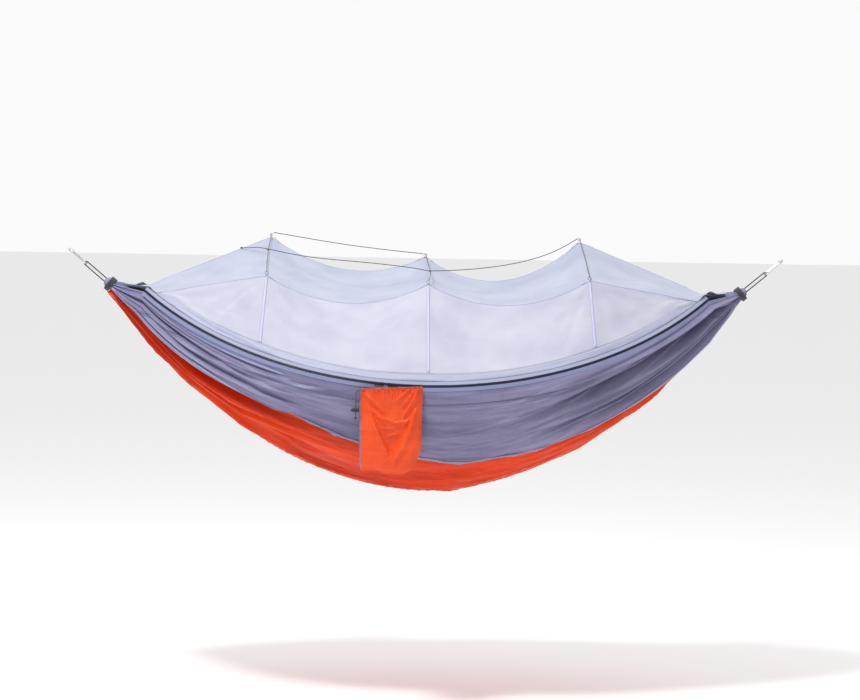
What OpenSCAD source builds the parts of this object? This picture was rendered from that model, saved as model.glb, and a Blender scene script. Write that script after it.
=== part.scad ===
// Camping hammock of parachute nylon with a zipped mosquito net.
// +X runs along the hammock, +Y away from the zip side, +Z up.
// The origin is the bearing point of the left carabiner.

/* [Bed] */
// Distance between the two gathered ends
gather_span = 2080; // [1900:10:2300]
// Depth of the bed's lowest line under the gathers
bed_sag = 655; // [600:5:700]
// Radius of the gathered bundle of cloth at each end
bundle_r = 20; // [18:1:24]
// Thickness of the cloth shells
cloth_t = 3; // [2:0.5:4]
// Height of the colour seam between rim and lowest line, as a fraction
seam_height = 0.57; // [0.5:0.01:0.6]
// How far the cloth is turned to one side, as a fraction of that height
seam_turn = 0.14; // [0:0.01:0.16]

/* [Zip] */
// Radius of the arc that the zipped rim follows
arc_r = 1200; // [1150:10:1300]
// Tilt of the arc's plane under the horizontal
arc_tilt = 40; // [35:1:45]
// Half the angle that the zip spans
zip_half_angle = 50; // [46:1:50]
// Depth of the zip's lowest point under the gathers
zip_drop = 290; // [270:5:300]
// Distance of the zip's lowest point in front of the middle plane
zip_reach = 450; // [440:5:460]
// Angle at which the closed left slider stands, from the middle
left_slider_angle = -7; // [-9:0.5:-6.5]
// Angle at which the closed right slider stands, from the middle
right_slider_angle = -5.8; // [-5.8:0.2:-4]

/* [Net] */
// Distance of the outer seams from the middle seam
station_x = 520; // [500:10:540]
// Half the width of the net's roof
roof_half = 220; // [200:5:240]
// Height of the roof's front outer corners over the gathers
front_corner_z = 43; // [30:1:60]
// Height of the roof's front middle corner over the gathers
front_middle_z = 23; // [10:1:40]
// Height of the roof's rear outer corners over the gathers
rear_corner_z = 160; // [140:1:165]
// Height of the roof's rear middle corner over the gathers
rear_middle_z = 100; // [90:1:110]
// How far the roof's front edge sags between its corners
front_sag = 74; // [60:1:90]
// How far the rear edge sags left of the middle
rear_left_sag = 77; // [60:1:90]
// How far the rear edge sags right of the middle
rear_right_sag = 105; // [90:1:115]
// Thickness of the net shells
net_t = 2; // [1.5:0.5:2.5]

/* [Pocket] */
// Width of the stuff pocket
pocket_w = 196; // [180:2:200]
// Height of the stuff pocket
pocket_h = 258; // [240:2:264]
// Thickness of the pocket where its front bulges most
pocket_d = 30; // [24:1:34]
// Distance of the pocket's middle from the hammock's middle
pocket_x = -115; // [-125:1:-110]

/* [Suspension] */
// Length of each suspension loop, from wrap to carabiner
loop_len = 100; // [90:5:120]
// Angle at which the loops rise
loop_rise = 40; // [35:1:45]
// Diameter of the suspension cord
loop_d = 4; // [3:0.5:4.5]
// Diameter of the carabiner's wire
wire_d = 8; // [7:0.5:8]
// Radius of the carabiner's bows, to the middle of the wire
bow_r = 16; // [15:0.5:18]
// Distance between the centres of the two bows
bow_gap = 40; // [38:1:46]

/* [Hidden] */
$fn = 48;

orange = "#d84324";
grey = "#8288ad";
pale = "#d9dbee";
navy = "#1d2743";
black = "#1b1c20";
silver = "#c4c6c8";

gap = 1;                          // air between neighbouring pieces of cloth
half_span = gather_span / 2;
wire_r = wire_d / 2;
bight_r = wire_r + loop_d / 2 + 0.2;   // middle of the cord around the wire
carabiner_in = bow_gap + 2 * (bow_r - wire_r);  // clear length inside a carabiner
line_len = loop_len + wire_d + carabiner_in;
mid_x = half_span + line_len * cos(loop_rise);  // the hammock's middle from the origin
gather_z = -line_len * sin(loop_rise);          // the gathers' height from the origin
arc_centre = [0, -zip_reach + arc_r * cos(arc_tilt), -zip_drop + arc_r * sin(arc_tilt)];
zip_x = arc_r * sin(zip_half_angle);

// ---- places in the hammock, from the point midway between the gathers ----

module from_middle() translate([mid_x, 0, gather_z]) children();

function unit(v) = v / norm(v);
function mix(a, b, u) = a + (b - a) * u;
function clamp(v) = min(1, max(-1, v));
function step_to(p, q, d) = p + unit(q - p) * d;

function arc_drop(x) = arc_r - sqrt(arc_r ^ 2 - x ^ 2);
function end_part(x) = max(0, (abs(x) - zip_x) / (half_span - zip_x));
function rim_half(x) = end_part(x) > 0
  ? mix(rim_half(zip_x), bundle_r * 0.35, end_part(x))
  : zip_reach - arc_drop(x) * cos(arc_tilt);
function rim_z(x) = end_part(x) > 0
  ? mix(rim_z(zip_x), bundle_r * 0.4, end_part(x))
  : -zip_drop + arc_drop(x) * sin(arc_tilt);
function low_z(x) = -bundle_r - (bed_sag - bundle_r) * (1 - (x / half_span) ^ 2);

// q runs over the cloth, from -1 at the front rim through 0 at the lowest line to 1.
bow_power = 0.87;
rim_room = 8;                     // room between the zip's middle and the cloth's edge
function bed_at(x, q) =
  let (turn = 90 * (1 - abs(q)), top = rim_z(x) - rim_room, low = low_z(x))
  [x, sign(q) * rim_half(x) * cos(turn) ^ bow_power, top - (top - low) * sin(turn) ^ bow_power];
function seam_q(x, side) =
  let (part = seam_height - side * seam_turn * sin(90 * clamp((x + 200) / 600)))
  side * (1 - asin(part ^ (1 / bow_power)) / 90);
function bed_normal(x, q) =
  let (
    dx = bed_at(x + 1, q) - bed_at(x - 1, q),
    dq = bed_at(x, min(1, q + 0.01)) - bed_at(x, max(-1, q - 0.01)))
  unit(cross(dx, dq));

// The net's roof edges: side -1 is the front edge, 1 the rear one.
net_x = 880;                      // where the roof edges come down to the rims
front_end_rise = 22;              // how far the front edge's end is over the front rim
rear_end_z = 14;                  // height of the rear edge's end
function corner_z(side) = side < 0 ? front_corner_z : rear_corner_z;
function middle_z(side) = side < 0 ? front_middle_z : rear_middle_z;
function roof_sag(x, side) = side < 0 ? front_sag : x < 0 ? rear_left_sag : rear_right_sag;
function roof_y(x) = abs(x) < station_x
  ? roof_half
  : mix(roof_half, rim_half(net_x) - 14, (abs(x) - station_x) / (net_x - station_x));
function roof_z(x, side) =
  let (a = abs(x), u = a / station_x, w = (a - station_x) / (net_x - station_x))
  a < station_x
  ? mix(middle_z(side), corner_z(side), u) - roof_sag(x, side) * 4 * u * (1 - u)
  : mix(corner_z(side), side < 0 ? rim_z(net_x) + front_end_rise : rear_end_z, w);
function roof_edge(x, side) = [x, side * roof_y(x), roof_z(x, side)];

// A point of the zip's own cross-section: m is out to the front, w is up.
function zip_at(angle, m, w) = arc_centre
  + (arc_r + m * cos(arc_tilt) - w * sin(arc_tilt))
    * [sin(angle), -cos(angle) * cos(arc_tilt), -cos(angle) * sin(arc_tilt)]
  + (m * sin(arc_tilt) + w * cos(arc_tilt)) * [0, -sin(arc_tilt), cos(arc_tilt)];

// ---- shells, ribbons and cords ----

// A closed shell between two grids of points, given as rows.
module shell(outer, inner) {
  rows = len(outer);
  cols = len(outer[0]);
  n = rows * cols;
  function at(i, j) = i * cols + j;
  skin = [for (i = [0:rows - 2], j = [0:cols - 2]) each
    [[at(i, j), at(i + 1, j), at(i + 1, j + 1)], [at(i, j), at(i + 1, j + 1), at(i, j + 1)]]];
  ring = concat(
    [for (j = [0:cols - 1]) at(0, j)], [for (i = [1:rows - 1]) at(i, cols - 1)],
    [for (j = [cols - 2:-1:0]) at(rows - 1, j)], [for (i = [rows - 2:-1:1]) at(i, 0)]);
  edge = [for (k = [0:len(ring) - 1]) let (a = ring[k], b = ring[(k + 1) % len(ring)]) each
    [[b, a, a + n], [b, a + n, b + n]]];
  polyhedron(
    points = concat([for (row = outer) each row], [for (row = inner) each row]),
    faces = concat(skin, [for (f = skin) [f[2] + n, f[1] + n, f[0] + n]],
      [for (f = edge) [f[2], f[1], f[0]]]));
}

// A round cord of diameter d along its route, with a flat end at each end.
module cord(route, d, sides = 8) {
  n = len(route);
  function ahead(i) = unit(route[min(i + 1, n - 1)] - route[max(i - 1, 0)]);
  function across(i) = let (t = ahead(i)) unit(cross(t, abs(t.y) < 0.8 ? [0, 1, 0] : [1, 0, 0]));
  polyhedron(
    points = [for (i = [0:n - 1], k = [0:sides - 1])
      let (u = across(i), v = cross(ahead(i), u), a = 360 * k / sides)
      route[i] + d / 2 * (cos(a) * u + sin(a) * v)],
    faces = concat(
      [for (i = [0:n - 2], k = [0:sides - 1]) let (l = (k + 1) % sides) each
        [[i * sides + k, (i + 1) * sides + k, (i + 1) * sides + l],
         [i * sides + k, (i + 1) * sides + l, i * sides + l]]],
      [[for (k = [0:sides - 1]) k]],
      [[for (k = [sides - 1:-1:0]) (n - 1) * sides + k]]));
}

// A flat tape of thickness t between two lines of points, laid out along out.
module tape(low, high, t, out) shell(
  [for (i = [0:len(low) - 1]) [low[i] + out * t, high[i] + out * t]],
  [for (i = [0:len(low) - 1]) [low[i], high[i]]]);

// ---- bed ----

bed_steps = 26;
bed_x = [for (i = [0:bed_steps]) (half_span - 2) * sin(90 * (2 * i / bed_steps - 1))];

// One panel of the bed, from cloth line q0(x) to q1(x); grids run front to rear.
module bed_panel(q0, q1, steps) {
  rows = [for (i = [0:bed_steps]) [for (j = [0:steps]) mix(q0[i], q1[i], j / steps)]];
  shell(
    [for (i = [0:bed_steps]) [for (q = rows[i]) bed_at(bed_x[i], q)]],
    [for (i = [0:bed_steps]) [for (q = rows[i])
      bed_at(bed_x[i], q) + bed_normal(bed_x[i], q) * cloth_t]]);
}

// A fixed distance along the cloth, as a share of q at x.
function q_share(x, d) = d / (rim_half(x) + rim_z(x) - low_z(x)) * 1.3;
front_q = [for (x = bed_x) seam_q(x, -1)];
rear_q = [for (x = bed_x) seam_q(x, 1)];
seam_w = 10;
seam_gap = [for (x = bed_x) q_share(x, seam_w / 2 + gap)];
seam_reach = [for (x = bed_x) q_share(x, seam_w / 2)];
all_front = [for (x = bed_x) -1];
all_rear = [for (x = bed_x) 1];

module bed_centre_panel()
  color(orange) from_middle() bed_panel(front_q + seam_gap, rear_q - seam_gap, 10);
module bed_front_panel()
  color(grey) from_middle() bed_panel(all_front, front_q - seam_gap, 6);
module bed_rear_panel()
  color(grey) from_middle() bed_panel(rear_q + seam_gap, all_rear, 6);
module bed_front_seam()
  color(navy) from_middle() bed_panel(front_q - seam_reach, front_q + seam_reach, 1);
module bed_rear_seam()
  color(navy) from_middle() bed_panel(rear_q - seam_reach, rear_q + seam_reach, 1);

// The folded hem along a rim, on the inner side of the bed panel.
module rim_hem(side, width) {
  inset = cloth_t + gap;
  shell(
    [for (x = bed_x) [for (q = [1, 1 - q_share(x, width)])
      let (s = side * q) bed_at(x, s) + bed_normal(x, s) * inset]],
    [for (x = bed_x) [for (q = [1, 1 - q_share(x, width)])
      let (s = side * q) bed_at(x, s) + bed_normal(x, s) * (inset + 1.5)]]);
}
module front_rim_hem() color(grey) from_middle() rim_hem(-1, 22);
module rear_rim_hem() color(grey) from_middle() rim_hem(1, 22);

// ---- zip ----

coil_r = 1.7;
coil_w = 2.1;                     // height of a coil's middle from the zip's middle
tape_w = 12;
tape_t = 1;
lean = 38;                        // how far the upper tape leans back to the net

// The zip's own cross-section, x out to the front and y up, swept along the arc.
module along_zip(half = zip_half_angle)
  on_arc(-half) rotate_extrude(angle = 2 * half, $fn = 96) translate([arc_r, 0]) rotate(arc_tilt)
    children();
// A piece placed on the arc: x out from the arc's centre, y along it, z across its plane.
module on_arc(angle)
  translate(arc_centre) rotate([arc_tilt, 0, 0]) rotate([0, 0, angle - 90]) children();
// A piece placed on the zip: x out to the front, y along the zip, z up.
module on_zip(angle) on_arc(angle) translate([arc_r, 0, 0]) rotate([0, -arc_tilt, 0]) children();

module zip_lower_tape() color(navy) from_middle() along_zip()
  translate([0.8, -coil_w - coil_r - 0.3 - tape_w]) square([tape_t, tape_w]);
module zip_upper_tape() color(navy) from_middle() along_zip()
  translate([0, coil_w + coil_r + 0.3]) rotate(lean) translate([-tape_t / 2, 0.5])
    square([tape_t, tape_w]);
module zip_lower_coil() color(navy) from_middle() along_zip() translate([0, -coil_w]) circle(coil_r);
module zip_upper_coil() color(navy) from_middle() along_zip() translate([0, coil_w]) circle(coil_r);

stop_len = 5;
stop_angle = zip_half_angle + 0.3;
module zip_end_stops() color(navy) from_middle()
  for (side = [-1, 1], up = [-1, 1])
    on_zip(side * stop_angle) translate([0, 0, up * coil_w])
      rotate([90, 0, 0]) cylinder(d = 4, h = stop_len, center = true);

slider_len = 11;
slider_w = 10;
plate_t = 1.2;
plate_off = 2.4;                  // clear space between the zip's middle and a plate
plate_face = plate_off + plate_t;
bridge_r = 3;
wire_t = 1.2;                     // thickness of the bridge and of the pull's eye
module zip_slider(angle) from_middle() on_zip(angle) {
  for (side = [-1, 1]) translate([side * (plate_off + plate_t / 2), 0, 0])
    cube([plate_t, slider_len, slider_w], center = true);
  // The web that joins the plates runs between the two coils.
  cube([2 * plate_off + plate_t, 3, 0.5], center = true);
  // The bridge arches along the slider and holds the pull's eye.
  translate([plate_face, 0, 0]) rotate([0, 0, -90]) rotate_extrude(angle = 180)
    translate([bridge_r, 0]) circle(d = wire_t, $fn = 24);
}
module zip_slider_left() color(black) zip_slider(left_slider_angle);
module zip_slider_right() color(black) zip_slider(right_slider_angle);

// A pull lies along the zip and turns out about the bar of its eye, under the bridge.
eye_x = plate_face + 1.2;         // the bar's place in front of the zip's middle
eye_w = 5.2;                      // outside width of the eye's frame
arm_len = 7;
grip_len = 19;
grip_w = 6;
module zip_pull(angle, side) from_middle() on_zip(angle) translate([eye_x, 0, 0])
  rotate([0, 0, side < 0 ? 180 : 0]) {
    // The eye is a frame whose first bar passes under the bridge.
    difference() {
      translate([-wire_t / 2, -wire_t / 2, -eye_w / 2]) cube([wire_t, arm_len + wire_t, eye_w]);
      translate([-wire_t, wire_t / 2, wire_t - eye_w / 2])
        cube([2 * wire_t, arm_len - wire_t, eye_w - 2 * wire_t]);
    }
    translate([-0.7, arm_len, -grip_w / 2]) cube([1.4, grip_len, grip_w]);
  }
module zip_pull_left() color(black) zip_pull(left_slider_angle, -1);
module zip_pull_right() color(black) zip_pull(right_slider_angle, 1);

// ---- net ----

net_steps = 30;
wall_gap = 4.5;                   // from the piping's middle to a wall's upper edge
roof_gap = 3.2;                   // from the piping's middle to the roof's edge
net_angle = [for (i = [0:net_steps]) mix(-zip_half_angle, zip_half_angle, i / net_steps)];
function roof_over(angle, side) =
  roof_edge(clamp(sin(angle) / sin(zip_half_angle)) * net_x, side);
function hem_low(angle) = zip_at(angle, -tape_w * sin(lean) - 1, coil_w + coil_r + 1.5 + tape_w * cos(lean));
function hem_part(angle) =
  let (room = norm(roof_over(angle, -1) - hem_low(angle))) min(26, room * 0.4);
function hem_high(angle) = step_to(hem_low(angle), roof_over(angle, -1), hem_part(angle));
function wall_low(angle) = step_to(hem_low(angle), roof_over(angle, -1), hem_part(angle) + gap);
function rear_low(angle) =
  let (x = arc_r * sin(angle)) [x, rim_half(x), rim_z(x) + 4];

// A wall of net between two lines, with its thickness on the inner side.
module net_wall(low, high, side, rows = 4) {
  n = len(low) - 1;
  grid = [for (i = [0:n]) [for (j = [0:rows]) mix(low[i], high[i], j / rows)]];
  inward = [for (i = [0:n]) unit(cross([1, 0, 0], high[i] - low[i])) * side * net_t];
  if (side > 0) shell(grid, [for (i = [0:n]) [for (p = grid[i]) p + inward[i]]]);
  if (side < 0) shell([for (i = [0:n]) [for (p = grid[i]) p + inward[i]]], grid);
}

module net_hem_strip() color(grey) from_middle()
  net_wall([for (a = net_angle) hem_low(a)], [for (a = net_angle) hem_high(a)], -1, 1);
wall_short = 1.5;                 // how far before the zip's ends the walls stop, in degrees
wall_angle = [for (a = net_angle) if (abs(a) < zip_half_angle - wall_short) a];
module net_front_wall() color(pale) from_middle()
  net_wall([for (a = wall_angle) wall_low(a)],
    [for (a = wall_angle) step_to(roof_over(a, -1), wall_low(a), wall_gap)], -1);
module net_rear_wall() color(pale) from_middle()
  net_wall([for (a = wall_angle) rear_low(a)],
    [for (a = wall_angle) step_to(roof_over(a, 1), rear_low(a), wall_gap)], 1);
// Past the roof's edges the net closes the ends between the two rims.
flap_x = [1000, 970, 940, 912];
flap_left = [for (x = flap_x) -x];
flap_right = [for (k = [3:-1:0]) flap_x[k]];
function flap(xs, side) =
  [for (x = xs) [x, side * (rim_half(x) - 4),
    side < 0 ? rim_z(x) + 30 : max(rim_z(x) + 16, roof_z(x, 1) + 4)]];
function roof_line(side) = concat(flap(flap_left, side),
  [for (a = net_angle) step_to(roof_over(a, side), roof_over(a, -side), roof_gap)],
  flap(flap_right, side));
module net_roof() color(pale) from_middle() net_wall(roof_line(-1), roof_line(1), -1, 4);

module front_roof_piping() color(pale) from_middle()
  cord([for (a = net_angle) roof_over(a, -1)], 2.4);
module rear_roof_piping() color(pale) from_middle()
  cord([for (a = net_angle) roof_over(a, 1)], 2.4);

seam_tape_w = 8;
seam_angles = [for (x = [-station_x, 0, station_x]) asin(x * sin(zip_half_angle) / net_x)];
// The seam tapes lie on the outside of a wall, from its foot to the roof's piping.
module seam_tape(low, high, side) {
  out = unit(cross([1, 0, 0], high - low)) * (side < 0 ? 1 : -1);
  foot = step_to(low, high, 4) - out * 1.5;
  head = step_to(high, low, 6) - out * 1.5;
  half = [seam_tape_w / 2, 0, 0];
  hull() for (p = [foot, head], s = [-1, 1]) translate(p + s * half) rotate([90, 0, 0])
    cylinder(d = 0.8, h = 0.8, center = true, $fn = 8);
}
module front_seam_tapes() color(pale) from_middle()
  for (a = seam_angles) seam_tape(wall_low(a), roof_over(a, -1), 1);
module rear_seam_tapes() color(pale) from_middle()
  for (a = seam_angles) seam_tape(rear_low(a), roof_over(a, 1), -1);

loop_r = 5;
loop_rise_z = loop_r + 2.6;       // the loop's middle over the piping's middle
module net_corner_loops() color(navy) from_middle()
  for (x = [-station_x, 0, station_x], side = [-1, 1])
    translate(roof_edge(x, side) + [0, 0, loop_rise_z]) rotate([90, 0, 0])
      rotate_extrude() translate([loop_r, 0]) circle(d = 2, $fn = 16);

// Routes of the thin cords over the roof, from loop to loop.
top_cord_d = 2.5;
left_station_route = [[-520, -214, 57], [-521, -180, 63], [-523, -110, 78], [-524, -30, 99],
  [-524, 50, 120], [-523, 120, 140], [-521, 175, 156], [-520, 214, 170]];
middle_station_route = [[2, -214, 38], [5, -180, 41], [9, -120, 50], [10, -60, 61],
  [8, 20, 73], [5, 100, 86], [3, 165, 99], [1, 214, 111]];
right_station_route = [[520, -214, 57], [521, -180, 63], [522, -110, 78], [523, -30, 99],
  [523, 50, 120], [522, 120, 140], [521, 175, 156], [520, 214, 170]];
rear_top_route = [[-513, 222, 175], [-480, 222, 170], [-410, 222, 159], [-330, 222, 147],
  [-250, 222, 136], [-170, 222, 127], [-90, 222, 119], [-35, 222, 114], [-7, 222, 112]];
left_top_route = [[-618.5, 192, 122.6], [-600, 164, 123], [-565, 110, 126], [-528, 56, 123],
  [-470, 42, 112], [-400, 30, 101], [-320, 15, 93], [-230, -4, 87], [-140, -24, 80],
  [-60, -42, 72], [7, -58, 62]];
right_top_route = [[13, -58, 62], [60, -34, 63], [120, -4, 66], [190, 32, 72], [270, 76, 83],
  [350, 122, 100], [420, 162, 123], [475, 192, 149], [513, 214, 171]];

module station_cord_left() color(black) from_middle() cord(left_station_route, top_cord_d);
module station_cord_middle() color(black) from_middle() cord(middle_station_route, top_cord_d);
module station_cord_right() color(black) from_middle() cord(right_station_route, top_cord_d);
module top_cord_rear() color(black) from_middle() cord(rear_top_route, top_cord_d);
module top_cord_left() color(black) from_middle() cord(left_top_route, top_cord_d);
module top_cord_right() color(black) from_middle() cord(right_top_route, top_cord_d);

knot_d = 6;
knot_spots = [[-620, 194.6, 122.3], [-525, 52, 121], [10, -60, 61]];
module top_cord_knots() color(black) from_middle()
  for (p = knot_spots) translate(p) sphere(d = knot_d, $fn = 24);

// ---- ends ----

// A place on the suspension line of one end, z along the line, from the gather outwards.
module on_line(side) translate([side * half_span, 0, 0]) rotate([0, side * (90 - loop_rise), 0])
  children();

wrap_turns = 4;
wrap_r = bundle_r + loop_d / 2 + 1.5;
module gather_wrap(side) from_middle() on_line(side)
  for (k = [0:wrap_turns - 1]) translate([0, 0, (k - 1.5) * (loop_d + 0.2)])
    rotate_extrude() translate([wrap_r, 0]) circle(d = loop_d, $fn = 24);
module gather_wrap_left() color(black) gather_wrap(-1);
module gather_wrap_right() color(black) gather_wrap(1);

module suspension_loop(side) from_middle() on_line(side) {
  for (s = [-1, 1]) translate([s * bight_r, 0, 0])
    translate([0, 0, 2]) cylinder(d = loop_d, h = loop_len + wire_r - 2, $fn = 24);
  translate([0, 0, loop_len + wire_r]) rotate([90, 0, 0]) rotate_extrude(angle = 180)
    translate([bight_r, 0]) circle(d = loop_d, $fn = 24);
}
module suspension_loop_left() color(black) suspension_loop(-1);
module suspension_loop_right() color(black) suspension_loop(1);

// The carabiner's own frame: z along its load line from the middle of the cord-side
// wire, y across its plane towards the gate.
module on_carabiner(side) from_middle() on_line(side) translate([0, 0, loop_len + wire_r])
  children();

low_bow = bow_r;                  // height of the lower bow's centre
high_bow = bow_r + bow_gap;       // height of the upper bow's centre
pin_z = low_bow + 5;
nose_z = high_bow - 3;
gate_d = 7.4;
tongue_t = 3;
pin_r = 1.5;
nose_notch = 5;

// Half a ring of wire, open downwards, in the carabiner's plane.
module wire_bow() rotate([90, 0, 90]) rotate_extrude(angle = 180) translate([bow_r, 0])
  circle(d = wire_d);
module carabiner_body(side) on_carabiner(side) difference() {
  union() {
    translate([0, 0, high_bow]) wire_bow();
    translate([0, 0, low_bow]) rotate([180, 0, 0]) wire_bow();
    translate([0, -bow_r, low_bow]) cylinder(d = wire_d, h = bow_gap);
    translate([0, bow_r, nose_z]) cylinder(d = wire_d, h = high_bow - nose_z);
    // The flat tongue that the gate's fork straddles.
    translate([0, bow_r, 0]) intersection() {
      translate([-tongue_t / 2, -wire_r, low_bow]) cube([tongue_t, wire_d, 9]);
      union() {
        translate([0, 0, pin_z]) rotate([0, 90, 0]) cylinder(r = wire_r, h = wire_d, center = true);
        translate([-wire_r, -wire_r, low_bow]) cube([wire_d, wire_d, pin_z - low_bow]);
      }
    }
  }
  translate([0, bow_r, pin_z]) rotate([0, 90, 0]) cylinder(r = pin_r, h = 20, center = true);
  // The notch that takes the gate's tongue, open towards the inside.
  translate([-1.9, 0, nose_z - 1]) cube([3.8, bow_r + 2.6, nose_notch + 1]);
}
module carabiner_body_left() color(silver) carabiner_body(-1);
module carabiner_body_right() color(silver) carabiner_body(1);

module gate_pin(side) on_carabiner(side) translate([0, bow_r, pin_z]) rotate([0, 90, 0])
  cylinder(r = pin_r, h = gate_d - 0.6, center = true);
module gate_pin_left() color(silver) gate_pin(-1);
module gate_pin_right() color(silver) gate_pin(1);

gate_top = nose_z - 0.4;
spring_bore = 4.4;
module carabiner_gate(side) on_carabiner(side) translate([0, bow_r, 0]) difference() {
  union() {
    translate([0, 0, pin_z - 2.6]) cylinder(d = gate_d, h = gate_top - pin_z + 2.6);
    translate([-1.5, -2.6, gate_top - 1]) cube([3, 4.4, nose_notch + 0.6]);
  }
  // The fork's slot, the pin's bore and the bore for the spring.
  translate([-tongue_t / 2 - 0.3, -10, pin_z - 6]) cube([tongue_t + 0.6, 20, 11]);
  translate([0, 0, pin_z]) rotate([0, 90, 0]) cylinder(r = pin_r + 0.05, h = 20, center = true);
  translate([0, 0, pin_z]) cylinder(d = spring_bore, h = 20);
}
module carabiner_gate_left() color(silver) carabiner_gate(-1);
module carabiner_gate_right() color(silver) carabiner_gate(1);

spring_turns = 5;
spring_pitch = 2.2;
spring_wire = 0.7;
module gate_spring(side) on_carabiner(side) translate([0, bow_r, pin_z + 6.5])
  cord([for (k = [0:10 * spring_turns])
    [1.6 * cos(36 * k), 1.6 * sin(36 * k), spring_pitch * k / 10]], spring_wire, 6);
module gate_spring_left() color(silver) gate_spring(-1);
module gate_spring_right() color(silver) gate_spring(1);

// ---- stuff pocket ----

pocket_top = [pocket_x, -zip_reach - 8, -zip_drop - 14];
panel_t = 1.2;
module on_pocket() from_middle() translate(pocket_top) children();

// The bulge of the pocket's front, from its edges (0) to its middle (1).
function bulge(u, v) = (1 - (2 * u - 1) ^ 4) * (0.45 + 0.55 * sin(180 * min(1, 0.15 + 0.85 * v)))
  * (v < 0.9 ? 1 : 1 - ((v - 0.9) / 0.1) ^ 2);
function pocket_side(u, v) = (u - 0.5) * pocket_w * (1 - 0.05 * v);
function pocket_face(u, v, skin) = [
  pocket_side(u, v) * (1 - skin * 0.012),
  -2.8 - (1 - skin) * panel_t - (pocket_d - 5 - skin * panel_t) * bulge(u, v),
  -(pocket_h - skin) * v];
pocket_u = [for (i = [0:14]) i / 14];
pocket_v = [for (j = [0:12]) j / 12];
module pocket_front_panel() color(orange) on_pocket() shell(
  [for (u = pocket_u) [for (v = pocket_v) pocket_face(u, v, 0)]],
  [for (u = pocket_u) [for (v = pocket_v) pocket_face(u, v, 1)]]);
module pocket_back_panel() color(grey) on_pocket()
  rotate([90, 0, 0]) linear_extrude(panel_t) polygon([
    [-pocket_w / 2, 0], [pocket_w / 2, 0],
    [pocket_w * 0.475, -pocket_h], [-pocket_w * 0.475, -pocket_h]]);
hem_h = 9;
module pocket_mouth_hem() color(orange) on_pocket()
  cord([for (i = [0:12]) let (u = i / 12)
    [pocket_side(u, 0) * 0.96, -7 - (pocket_d - 5) * bulge(u, 0.02), -2 + 5.5]], 6);

drawstring_d = 2.5;
strand_x = -112;                  // the strands hang just clear of the pocket's edge
strand_gap = 4;
strand_route = [[-96, -12, -1], [-99, -12, -2], [-103, -12, -4], [-107, -12, -8],
  [-110, -12, -13], [-112, -12, -20], [-112, -12, -40], [-112, -12, -60], [-112, -12, -84]];
module pocket_drawstring() color(black) on_pocket()
  for (s = [-0.5, 0.5]) translate([0, s * strand_gap, 0]) cord(strand_route, drawstring_d);
module drawstring_knot() color(black) on_pocket()
  translate([strand_x, -12, -87.7]) sphere(d = 7, $fn = 24);

// The cord lock is a barrel lying across the strands, its button out to the left.
lock_d = 13;
lock_z = -62;
button_d = 9;
button_in = 4;                    // the button's inner end, from the strands
button_out = 15;
button_travel = 2.5;
lock_spring_h = 2.3;
lock_floor = button_in + button_travel + lock_spring_h + 0.2;
lock_out = 10;
module on_lock() on_pocket() translate([strand_x, -12, lock_z]) rotate([0, 90, 0]) children();
module strand_way(wide = 0) hull()
  for (s = [-0.5, 0.5], e = [0, wide]) translate([0, s * strand_gap, -e])
    rotate([0, 90, 0]) cylinder(d = drawstring_d + 0.6, h = 60, center = true, $fn = 24);
module cord_lock_body() color(black) on_lock() difference() {
  translate([0, 0, -lock_out]) cylinder(d = lock_d, h = lock_out + lock_floor + 1.4);
  translate([0, 0, -lock_out - 1]) cylinder(d = button_d + 0.3, h = lock_out + 1 + lock_floor);
  strand_way();
}
module cord_lock_button() color(black) on_lock() difference() {
  translate([0, 0, -button_out]) cylinder(d = button_d, h = button_out + button_in);
  strand_way(button_travel);
}
module cord_lock_spring() color(silver) on_lock() translate([0, 0, lock_floor - lock_spring_h + 0.4])
  cord([for (k = [0:24]) [2.6 * cos(30 * k), 2.6 * sin(30 * k), 0.07 * k]], 0.6, 6);

bed_centre_panel();
bed_front_panel();
bed_rear_panel();
bed_front_seam();
bed_rear_seam();
front_rim_hem();
rear_rim_hem();
zip_lower_tape();
zip_upper_tape();
zip_lower_coil();
zip_upper_coil();
zip_end_stops();
zip_slider_left();
zip_slider_right();
zip_pull_left();
zip_pull_right();
net_hem_strip();
net_front_wall();
net_roof();
net_rear_wall();
front_seam_tapes();
rear_seam_tapes();
front_roof_piping();
rear_roof_piping();
net_corner_loops();
station_cord_left();
station_cord_middle();
station_cord_right();
top_cord_rear();
top_cord_left();
top_cord_right();
top_cord_knots();
gather_wrap_left();
gather_wrap_right();
suspension_loop_left();
suspension_loop_right();
carabiner_body_left();
carabiner_body_right();
carabiner_gate_left();
carabiner_gate_right();
gate_pin_left();
gate_pin_right();
gate_spring_left();
gate_spring_right();
pocket_front_panel();
pocket_back_panel();
pocket_mouth_hem();
pocket_drawstring();
drawstring_knot();
cord_lock_body();
cord_lock_button();
cord_lock_spring();
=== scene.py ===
import bpy
import bmesh
from math import asin, atan2, cos, exp, pi, radians, sin, sqrt
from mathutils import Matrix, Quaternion, Vector, noise


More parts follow.
